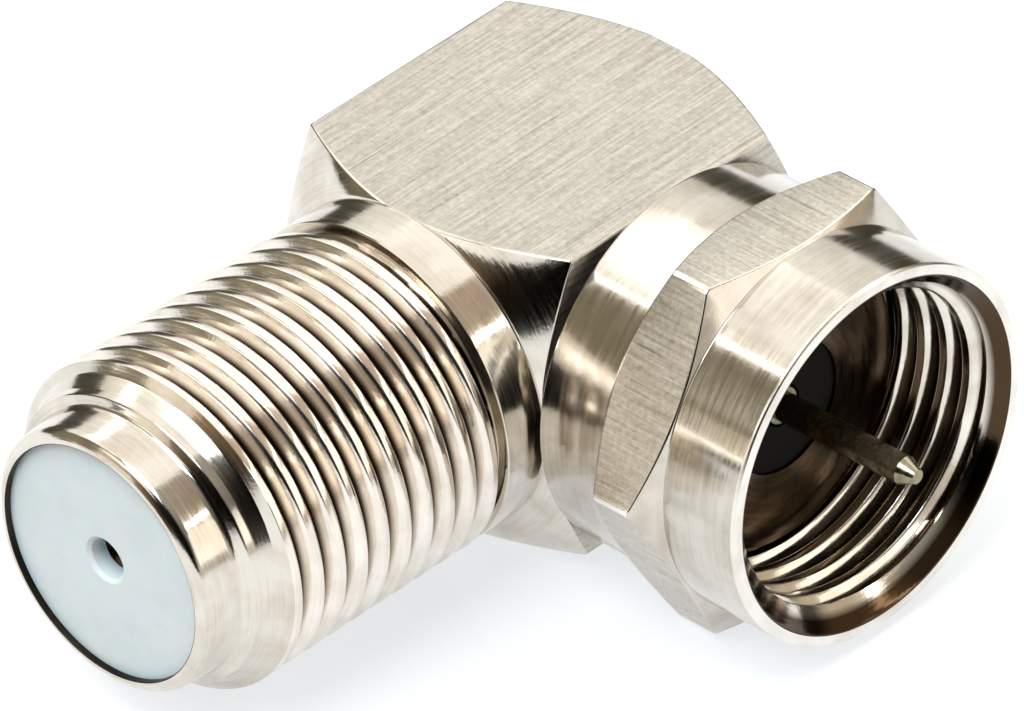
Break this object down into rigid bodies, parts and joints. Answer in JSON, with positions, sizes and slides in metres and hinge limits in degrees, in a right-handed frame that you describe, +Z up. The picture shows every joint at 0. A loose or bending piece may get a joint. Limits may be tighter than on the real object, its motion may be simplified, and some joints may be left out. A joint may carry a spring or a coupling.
{
  "type": "right-angle coaxial f adapter",
  "caption": "Right-angle coaxial adapter: square block with a threaded jack on one side and a plug with a swivelling hexagon coupling nut on the other.",
  "frame": {"origin": "centre line of the block's underside, right below the crossing of the jack's axis and the plug's axis", "axes": "-Y out along the jack, +X out along the plug, +Z up"},
  "size_m": [0.018, 0.0225, 0.011],
  "materials": {
    "plated_body": "bright nickel plate on brass, drawn lines on the flats",
    "plated_nut": "bright nickel plate on brass, fine turning marks",
    "plated_post": "nickel plate on brass, satin",
    "pin_metal": "bright tinned wire",
    "contact_metal": "bright spring metal",
    "white_insulator": "matte moulded plastic, cool white",
    "natural_insulator": "matte moulded plastic, natural white",
    "dark_insulator": "matte moulded plastic, dark brown"
  },
  "bodies": {
    "housing": {"body": "plated_body", "rear_cap": "plated_body", "jack_insulator": "white_insulator", "jack_contact": "contact_metal", "rear_bush": "natural_insulator", "plug_post": "plated_post", "plug_insulator": "dark_insulator", "plug_pin": "pin_metal"},
    "nut": {"coupling_nut": "plated_nut"}
  },
  "joints": [
    {"name": "nut_spin", "type": "hinge", "parent": "housing", "child": "nut", "pos_m": [0.0084, 0, 0.0047], "axis": [1, 0, 0], "continuous": true}
  ]
}
